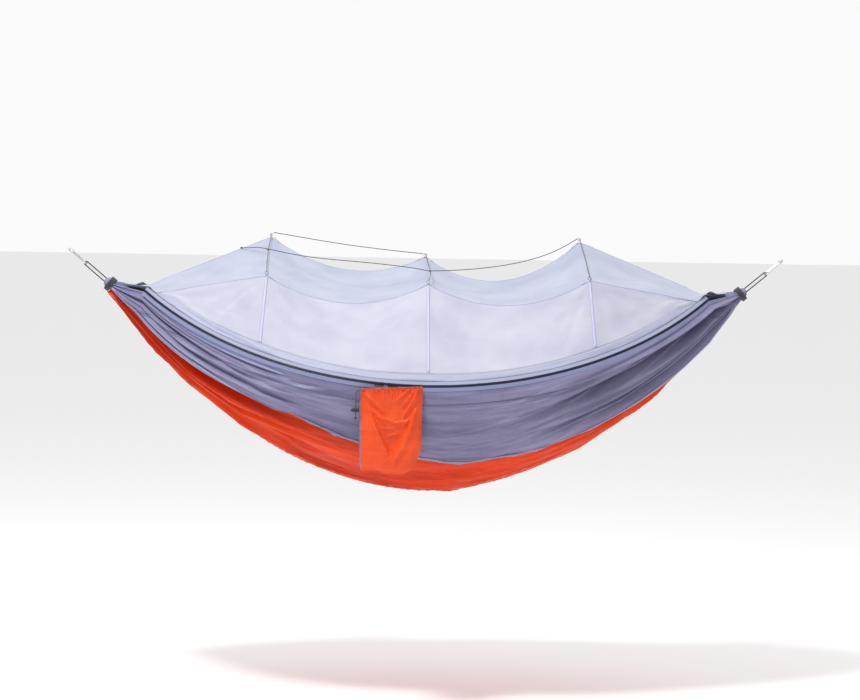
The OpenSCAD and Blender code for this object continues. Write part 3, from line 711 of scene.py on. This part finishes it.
def mesh_cloth(name, colour, deep, alpha):
    """Mosquito mesh: matt polyester yarn in holes of about 1 mm, so the cloth is half open.

    The holes are too fine to show, so the cloth is slightly see-through all over, and its
    knit is drawn as cells of 2.4 mm.
    """
    material, tree, where = new_material(name)
    knit = add_node(tree, "ShaderNodeTexVoronoi", {"feature": "DISTANCE_TO_EDGE"},
                    {"Scale": 420.0, "Randomness": 0.25}, {"Vector": where.outputs["UV"]})
    cell = add_node(tree, "ShaderNodeMapRange", {}, {"From Max": 0.25},
                    {"Value": knit.outputs["Distance"]})
    drape = add_node(tree, "ShaderNodeTexNoise",
                     inputs={"Scale": 7.0, "Detail": 4.0, "Roughness": 0.55},
                     links={"Vector": where.outputs["UV"]})
    # Where the drape lies low the colour turns to the deep tone: painted shade in the mesh's
    # wrinkles.
    painted_fold_shade = add_node(tree, "ShaderNodeMapRange", {}, {"From Min": 0.3, "From Max": 0.7},
                    {"Value": drape.outputs["Fac"]})
    shade = add_node(tree, "ShaderNodeMix", {"data_type": "RGBA"},
                     {6: linear(deep), 7: linear(colour)}, {0: painted_fold_shade.outputs[0]})
    yarn = add_node(tree, "ShaderNodeMix", {"data_type": "RGBA", "blend_type": "MULTIPLY"},
                    {0: 0.10}, {6: shade.outputs[2], 7: cell.outputs[0]})
    surface(tree, {"Roughness": 0.85, "IOR": 1.5, "Alpha": alpha, "Sheen Weight": 0.35,
                   "Sheen Roughness": 0.6},
            yarn, [(drape.outputs["Fac"], 0.35, 0.003), (cell.outputs[0], 0.2, 0.0004)])
    return material


# The second tone of each mesh is the painted shade in its wrinkles.
net_mesh = mesh_cloth("polyester_mosquito_mesh", "#c5c6d3", "#b4b5c9", 0.88)
roof_mesh = mesh_cloth("polyester_roof_mesh", "#b1b7ca", "#9da3bc", 0.90)
net_corners = {side: [roof_edge(x, side) for x in (-station_x, 0.0, station_x)] for side in (-1, 1)}


def pulled(spot, corners, deep=0.0100, reach=0.19):
    """Folds that fan out of the corners, where the cords take the net's weight."""
    total = 0.0
    for k, corner in enumerate(corners):
        away = spot - corner
        far = away.length
        bearing = atan2(away.z + away.y * 0.5, away.x)
        total += (deep * exp(-far / reach) * min(1.0, far / 0.03)
                  * noise.noise((bearing * 5.5, k * 3.1, 2.0)))
    return total


def wall_at(low, high, v, side, out=0.0):
    """A place on a net wall, v up from its foot to the roof's edge."""
    spot = mix(low, high, v)
    across = Vector((1, 0, 0)).cross(high - low).normalized() * -side
    if across.y * side < 0:
        across = -across
    slack = (0.0060 * noise.noise((spot.x * 7 + v, v * 1.5, 4.0 + side))
             + 0.0024 * noise.noise((spot.x * 21 - 2 * v, v * 2.5, 8.0)))
    held = 4 * v * (1 - v)
    return middle + spot + across * ((slack + pulled(spot, net_corners[side])) * held + out)


def net_angle(u):
    return mix(-zip_half_angle, zip_half_angle, u)


wall_len = 2.0
strip = cloth_grid(
    "net_hem_cloth", 200, 4,
    lambda u, v: wall_at(hem_low(net_angle(u)), wall_low(net_angle(u)), v, -1),
    0.028, wall_len,
    stitched("pale_nylon_strip", ("#9397b0", "#a1a5bc"), "#c4c7d8", (0.003, 0.024)),
    thickness=0.0008)
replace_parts(strip, "net_hem_strip")
front_wall = cloth_grid(
    "net_front_mesh", 220, 36,
    lambda u, v: wall_at(wall_low(net_angle(u)), roof_over(net_angle(u), -1), v, -1),
    0.40, wall_len, net_mesh, thickness=0.0005)
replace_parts(front_wall, "net_front_wall")
rear_wall = cloth_grid(
    "net_rear_mesh", 220, 40,
    lambda u, v: wall_at(rear_low(net_angle(u)), roof_over(net_angle(u), 1), v, 1),
    0.46, wall_len, net_mesh, thickness=0.0005)
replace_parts(rear_wall, "net_rear_wall")
flap_x = [0.900, 0.925, 0.955, 0.990]


def flap_spot(x, side):
    if side < 0:
        # The front flap stays over the slider's way until the zip ends.
        z = rim_z(x) + mix(0.027, 0.006, ease(0.925, 0.965, x))
    else:
        z = mix(roof_z(net_x, side), rim_z(x) + 0.006, ease(net_x, 0.940, x))
    return Vector((x, side * (rim_half(x) - 0.006), z))


def roof_line(u, side):
    """The roof's edge, with the flaps that close the net's ends."""
    body = 0.86
    if abs(2 * u - 1) <= body:
        return roof_over(zip_half_angle * (2 * u - 1) / body, side)
    s = -1 if u < 0.5 else 1
    part = (abs(2 * u - 1) - body) / (1 - body) * len(flap_x)
    spots = [roof_edge(net_x, side)] + [flap_spot(x, side) for x in flap_x]
    k = min(len(flap_x) - 1, int(part))
    spot = mix(spots[k], spots[k + 1], part - k)
    return Vector((s * spot.x, spot.y, spot.z))


def roof_at(u, v):
    """A place on the roof, v from its front edge to its rear one."""
    low, high = roof_line(u, -1), roof_line(u, 1)
    spot = mix(low, high, v)
    held = 4 * v * (1 - v)
    dip = 0.010 * held * ease(1.0, 0.8, abs(2 * u - 1))
    slack = (0.0070 * noise.noise((spot.x * 6, v * 1.2, 6.0))
             + 0.0030 * noise.noise((spot.x * 19 + 3 * v, v * 2.0, 2.5)))
    fans = pulled(spot, net_corners[-1]) + pulled(spot, net_corners[1])
    return middle + spot + Vector((0, 0, (slack + fans) * held - dip))


roof = cloth_grid("net_roof_mesh", 240, 60, roof_at, 0.44, 2.15, roof_mesh, thickness=0.0005)
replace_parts(roof, "net_roof")

# Woven binding: tapes 8 mm wide over the walls' seams, and piping along the roof's edges.
binding = stitched("woven_net_binding", ("#a9add0", "#b9bddb"), "#d9dbee", (0.0020, 0.0060))
tape_half = 0.004
for side, low_line in ((-1, wall_low), (1, rear_low)):
    for k, x in enumerate((-station_x, 0.0, station_x)):
        angle = asin(x * sin(zip_half_angle) / net_x)
        turn = tape_half / arc_r / cos(angle)
        name = "%s_seam_tape_%d" % ("front" if side < 0 else "rear", k + 1)
        tape = cloth_grid(
            name, 40, 2,
            lambda u, v, a=angle, t=turn, s=side, line=low_line: wall_at(
                line(a + mix(-t, t, v)), roof_over(a + mix(-t, t, v), s), mix(0.02, 0.97, u), s,
                0.0010),
            0.008, 0.35, binding, thickness=0.0008)
        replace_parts(tape, "front_seam_tapes" if side < 0 else "rear_seam_tapes")
piping_d = 0.0024
piping_yarn = stitched("net_edge_piping", ("#9fa4c8", "#b4b8d8"), "#d9dbee", (0.002,))
for side, node in ((-1, "front_roof_piping"), (1, "rear_roof_piping")):
    points = [middle + roof_over(net_angle(k / 60), side) for k in range(61)]
    piece = lay_cord(node + "_edge", points, piping_d, piping_yarn)
    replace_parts(piece, node)

# Folded loops of navy tape sewn into the roof's corners take the cords.
loop_tape, tree, where = new_material("narrow_navy_webbing")
cells = add_node(tree, "ShaderNodeTexVoronoi", inputs={"Scale": 1100.0},
                 links={"Vector": where.outputs["Object"]})
shade = add_node(tree, "ShaderNodeMix", {"data_type": "RGBA"},
                 {6: linear("#1d2743"), 7: linear("#39456a")}, {0: cells.outputs["Distance"]})
surface(tree, {"Roughness": 0.8, "IOR": 1.55}, shade, [(cells.outputs["Distance"], 0.5, 0.0003)])
loop_r = 0.005
loop_lift = 0.0076                # of a loop's middle over the roof's corner
loop_w = 0.006
loop_t = 0.001
bm = bmesh.new()
for x in (-station_x, 0.0, station_x):
    for side in (-1, 1):
        centre = middle + roof_edge(x, side) + Vector((0, 0, loop_lift))
        band = [bm.verts.new(centre + Vector((loop_r + rise, across, 0)))
                for rise, across in ((-loop_t / 2, -loop_w / 2), (loop_t / 2, -loop_w / 2),
                                     (loop_t / 2, loop_w / 2), (-loop_t / 2, loop_w / 2))]
        edges = [bm.edges.new((a, b)) for a, b in zip(band, band[1:] + band[:1])]
        bmesh.ops.spin(bm, geom=band + edges, cent=centre, axis=(0, 1, 0), angle=2 * pi,
                       steps=28, use_merge=True, use_duplicate=False)
bmesh.ops.remove_doubles(bm, verts=bm.verts[:], dist=1e-6)
bmesh.ops.recalc_face_normals(bm, faces=bm.faces[:])
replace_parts(piece_of("net_corner_tape_loops", bm, [loop_tape], "hammock"), "net_corner_loops")

# ---- ends ----
# Each end of the bed is drawn together into a bundle and bound with four turns of braided
# nylon cord. A loop of the same cord, 4 mm thick, rises from the binding to the carabiner.
suspension_d = 0.004
nylon_cord, tree, where = new_material("braided_nylon_cord")
strands = add_node(tree, "ShaderNodeTexVoronoi", inputs={"Scale": 620.0},
                   links={"Vector": where.outputs["Object"]})
shade = add_node(tree, "ShaderNodeMix", {"data_type": "RGBA"},
                 {6: linear("#131418"), 7: linear("#303238")}, {0: strands.outputs["Distance"]})
surface(tree, {"Roughness": 0.6, "IOR": 1.53, "Sheen Weight": 0.3}, shade,
        [(strands.outputs["Distance"], 0.7, 0.0006)])

bight_r = wire_d / 2 + suspension_d / 2 + 0.0002
wrap_r = bundle_r + suspension_d / 2 + 0.0015
wrap_turns = 4
knob_r = 0.0172
knob_half_len = 0.021
for side, name in ((-1, "left"), (1, "right")):
    gather = middle + Vector((side * half_span, 0, 0))
    outward = Vector((side * cos(loop_rise), 0, sin(loop_rise)))
    up = Vector((-side * sin(loop_rise), 0, cos(loop_rise)))
    depth = Vector((0, 1, 0))
    # The cord wound round the bundle, as one helix.
    pitch = suspension_d + 0.0002
    turns = []
    steps = 20 * wrap_turns
    for k in range(steps + 1):
        a = 2 * pi * k / 20
        turns.append(gather + outward * pitch * (k / 20 - wrap_turns / 2) * 0.99
                     + wrap_r * (up * cos(a) + depth * sin(a)))
    wrap = lay_cord("gather_binding_" + name, turns, suspension_d, nylon_cord)
    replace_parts(wrap, "gather_wrap_" + name)
    # The loop: up one strand, round the carabiner's lower wire and back down.
    top = suspension_len + wire_d / 2
    strand = [gather + outward * d + up * bight_r for d in
              (0.002, 0.02, 0.04, 0.06, 0.08, 0.095, top)]
    bight = [gather + outward * (top + bight_r * sin(pi * k / 12)) + up * bight_r * cos(pi * k / 12)
             for k in range(1, 12)]
    back = [gather + outward * d - up * bight_r for d in
            (top, 0.095, 0.08, 0.06, 0.04, 0.02, 0.002)]
    points = strand + bight + back
    loop = lay_cord("suspension_cord_" + name, points, suspension_d, nylon_cord)
    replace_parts(loop, "suspension_loop_" + name)
    # The gathered end of the cloth fills the binding and rounds off in a pleated knob.
    bm = bmesh.new()
    bmesh.ops.create_uvsphere(bm, u_segments=96, v_segments=32, radius=1.0)
    uv = bm.loops.layers.uv.new("cut")
    for v in bm.verts:
        a = atan2(v.co.y, v.co.x)
        pleats = 1 + 0.07 * sin(17 * a + 2 * v.co.z) + 0.10 * noise.noise(
            (2.2 * cos(a), 2.2 * sin(a), v.co.z + side))
        long = knob_half_len * v.co.z
        v.co = (gather + outward * (long + 0.002)
                + (up * v.co.x + depth * v.co.y) * knob_r * pleats)
    for face in bm.faces:
        face.smooth = True
        face.material_index = 1 if (face.calc_center_median() - gather).z > -0.004 else 0
        for corner in face.loops:
            spot = corner.vert.co - gather
            corner[uv].uv = (spot.dot(outward), atan2(spot.dot(depth), spot.dot(up)) * 0.02)
    bmesh.ops.recalc_face_normals(bm, faces=bm.faces[:])
    knob = piece_of("gathered_end_" + name, bm, [orange_nylon, grey_nylon], "hammock")

# ---- carabiners ----
# Bent steel wire, 8 mm thick and zinc plated, with a sprung gate on a pin through a flattened
# tongue. The plating is bright, with small rubbed places.
plated_steel, tree, where = new_material("zinc_plated_steel")
rubbed = add_node(tree, "ShaderNodeTexNoise", inputs={"Scale": 180.0, "Detail": 4.0},
                  links={"Vector": where.outputs["Object"]})
rough = add_node(tree, "ShaderNodeMapRange", {}, {"To Min": 0.20, "To Max": 0.42},
                 {"Value": rubbed.outputs["Fac"]})
shade = add_node(tree, "ShaderNodeMix", {"data_type": "RGBA"},
                 {6: linear("#b4b7ba"), 7: linear("#dcdee0")}, {0: rubbed.outputs["Fac"]})
surface(tree, {"Metallic": 1.0}, shade, [(rubbed.outputs["Fac"], 0.08, 0.0002)],
        Roughness=rough.outputs[0])
for name in ("left", "right"):
    for node in ("carabiner_body_", "carabiner_gate_", "gate_pin_", "gate_spring_"):
        finish_node(node + name, plated_steel)

# ---- stuff pocket ----
# The sack that the hammock packs into hangs from the front rim: an orange front gathered by
# a drawstring hem at its mouth, sewn along its sides to a flat grey back.
pocket_w = 0.196
pocket_h = 0.258
pocket_d = 0.030
mouth_hem_d = 0.006


def bulge(u, v):
    return ((1 - (2 * u - 1) ** 4) * (0.45 + 0.55 * sin(pi * min(1, 0.15 + 0.85 * v)))
            * (1 if v < 0.9 else 1 - ((v - 0.9) / 0.1) ** 2))


def mouth_rise(x):
    """How much higher the mouth hangs, which is pulled up at its right corner."""
    return 0.004 + 0.05 * x


def pocket_side(u, v):
    return (u - 0.5) * pocket_w * (1 - 0.05 * v) - 0.014 * max(0.0, 2 * u - 1) * ease(0.70, 0.92, v)


def pocket_down(u, v, x):
    hem = 0.0060 * sin(7.5 * u + 0.2) - 0.0022 * sin(19 * u)
    return mouth_rise(x) * (1 - v) - pocket_h * v + hem * ease(0.80, 1.0, v)


def ridge_line(x, z, a, b, high, width):
    """One fold of the pocket: a ridge in mm from a to b that fades out at its ends."""
    run = (b[0] - a[0], b[1] - a[1])
    size = sqrt(run[0] ** 2 + run[1] ** 2)
    t = ((x - a[0]) * run[0] + (z - a[1]) * run[1]) / size ** 2
    off = ((x - a[0]) * run[1] - (z - a[1]) * run[0]) / size
    if not -0.2 < t < 1.2 or abs(off) > 3 * width:
        return 0.0
    off += 2.0 * sin(3 * t)
    return high * exp(-(off / width) ** 2) * ease(-0.12, 0.12, t) * ease(1.15, 0.80, t)


# Each fold's start, its end, its height and its half width, in millimetres from the mouth.
pocket_folds = [
    ((-92, -6), (-18, -74), 6.5, 6.0), ((-76, -56), (-20, -96), 5.0, 5.0),
    ((-90, -16), (-56, -104), 5.0, 5.5), ((-56, -104), (-8, -200), 6.5, 6.0),
    ((88, 4), (36, -86), 6.0, 5.5), ((56, 2), (10, -36), 4.5, 4.0), ((74, 0), (30, -54), 4.0, 3.5),
    ((78, -60), (50, -156), 7.0, 6.5), ((50, -156), (8, -226), 6.5, 6.5),
    ((90, -40), (86, -150), 3.5, 5.0), ((76, -66), (40, -108), 4.0, 4.5),
    ((-50, -82), (14, -104), 4.5, 4.0), ((10, -104), (54, -100), 4.5, 4.0),
    ((-12, -146), (22, -138), 3.5, 4.0), ((-28, -120), (10, -124), 2.8, 4.0),
    ((-4, -4), (-3, -44), 3.0, 4.0), ((-22, -232), (-8, -216), 2.5, 5.0)]


def drape(u, v):
    """Folds of the slack front: two hang from the mouth's corners and meet low in the middle.

    Between them the cloth sinks in, and falls in smaller folds that cross it.
    """
    x, z = (u - 0.5) * pocket_w * 1000, -pocket_h * v * 1000
    left_edge = mix(-88, -7, clamp(-z / 200) ** 1.15)
    right_edge = mix(86, -3, clamp(-z / 205) ** 1.6)
    sunk = ease(left_edge - 3, left_edge + 5, x) * ease(right_edge + 7, right_edge - 5, x)
    total = sunk * (7.0 * ease(-60, -15, z) - 17.0 * ease(-10, -185, z)) * ease(-215, -192, z)
    total += sum(ridge_line(x, z, *line) for line in pocket_folds)
    total += (3.0 * noise.noise((x * 0.03, z * 0.012, 3.0))
              + 1.2 * noise.noise((x * 0.08, z * 0.035, 6.0)))
    total += 5.0 * ease(0.85, 0.97, v) * noise.noise((x * 0.035, 2.0, 9.0))
    total += 1.8 * sin(x * 0.7 + 2 * sin(x * 0.13)) * ease(0.12, 0.02, v)
    return total / 1000 * min(1.0, 9 * u, 9 * (1 - u), 12 * (1 - v))


def pocket_front_at(u, v):
    x = pocket_side(u, v)
    return pocket_top + Vector((x, -0.0028 - (pocket_d - 0.005) * bulge(u, v) - drape(u, v),
                                pocket_down(u, v, x)))


pocket_front = cloth_grid("pocket_front_cloth", 200, 230, pocket_front_at, pocket_h, pocket_w,
                          pocket_nylon, "pocket", thickness=0.0008, inwards=1)
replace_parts(pocket_front, "pocket_front_panel")


def pocket_back_at(u, v):
    x = pocket_side(u, v)
    proud = 0.004 * ease(0.05, 0.0, u) * ease(0.0, 0.1, v) * ease(1.0, 0.9, v)
    return pocket_top + Vector((x - proud, -0.0006 + 0.0005 * noise.noise((x * 30, v * 6, 1.0)),
                                pocket_down(u, v, x)))


pocket_back = cloth_grid("pocket_back_cloth", 40, 50, pocket_back_at, pocket_h, pocket_w,
                         grey_nylon, "pocket", thickness=0.0008, inwards=1)
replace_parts(pocket_back, "pocket_back_panel")
mouth = []
for k in range(61):
    u = k / 60
    x = pocket_side(u, 0) * 0.96
    mouth.append(pocket_top + Vector((x, -0.007 - 0.025 * bulge(u, 0.02) - 0.0012 * sin(47 * u),
                                      0.0035 + mouth_rise(x) + 0.0008 * sin(83 * u))))
mouth_hem = lay_cord("pocket_mouth_channel", mouth, mouth_hem_d, pocket_nylon, "pocket")
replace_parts(mouth_hem, "pocket_mouth_hem")

# A barrel cord lock of moulded acetal with a sprung button holds the drawstring's strands.
acetal, tree, where = new_material("moulded_black_acetal")
grain = add_node(tree, "ShaderNodeTexNoise", inputs={"Scale": 1500.0, "Detail": 2.0},
                 links={"Vector": where.outputs["Object"]})
shade = add_node(tree, "ShaderNodeMix", {"data_type": "RGBA"},
                 {6: linear("#141518"), 7: linear("#222429")}, {0: grain.outputs["Fac"]})
surface(tree, {"Roughness": 0.42, "IOR": 1.48}, shade, [(grain.outputs["Fac"], 0.25, 0.0001)])
for node in ("cord_lock_body", "cord_lock_button"):
    finish_node(node, acetal)
finish_node("cord_lock_spring", plated_steel)

# ---- floor and light ----
# A pale matt floor under the hanging hammock, with broad soft lamps to the front and above.
floor_z = -1.45
floor_mesh = bpy.data.meshes.new("floor")
bm = bmesh.new()
bmesh.ops.create_grid(bm, x_segments=1, y_segments=1, size=60)
bmesh.ops.translate(bm, verts=bm.verts[:], vec=(1.17, 0, floor_z))
bm.to_mesh(floor_mesh)
bm.free()
floor = placed("floor", floor_mesh)
floor_paint, tree, where = new_material("matt_white_floor_paint")
paint = add_node(tree, "ShaderNodeBsdfPrincipled",
                 inputs={"Base Color": linear("#fafafa"), "Roughness": 0.9})
add_node(tree, "ShaderNodeOutputMaterial", links={"Surface": paint.outputs[0]})
floor_mesh.materials.append(floor_paint)

world = bpy.data.worlds.new("studio")
world.use_nodes = True
tree = world.node_tree
backdrop = tree.nodes["Background"]
backdrop.inputs["Color"].default_value = (1, 1, 1, 1)
where = add_node(tree, "ShaderNodeTexCoord")
facing = add_node(tree, "ShaderNodeSeparateXYZ", links={0: where.outputs["Generated"]})
# The ceiling and the wall behind the hammock are brighter than the room in front of it.
above = add_node(tree, "ShaderNodeMath", {"operation": "MULTIPLY"}, {1: 1.3},
                 {0: facing.outputs["Z"]})
lit = add_node(tree, "ShaderNodeMath", {"operation": "ADD"},
               links={0: above.outputs[0], 1: facing.outputs["Y"]})
glow = add_node(tree, "ShaderNodeMapRange", {"interpolation_type": "SMOOTHSTEP"},
                {"From Min": 0.0, "From Max": 0.9, "To Min": 0.50, "To Max": 0.96},
                {"Value": lit.outputs[0]})
tree.links.new(glow.outputs[0], backdrop.inputs["Strength"])
bpy.context.scene.world = world
bpy.context.scene.view_settings.view_transform = "Standard"
for name, spot, size, power in (
        ("key_lamp", (-0.4, -2.4, 4.1), 0.9, 215),
        ("fill_lamp", (4.0, -3.5, 1.6), 3.0, 14),
        ("top_lamp", (1.2, 1.0, 4.2), 3.5, 24)):
    lamp = bpy.data.lights.new(name, "AREA")
    lamp.shape = "DISK"
    lamp.size = size
    lamp.energy = power
    lamp_object = placed(name, lamp)
    lamp_object.location = spot
    aim = Vector((1.17, 0, -0.3)) - Vector(spot)
    lamp_object.rotation_mode = "QUATERNION"
    lamp_object.rotation_quaternion = aim.to_track_quat("-Z", "Y")
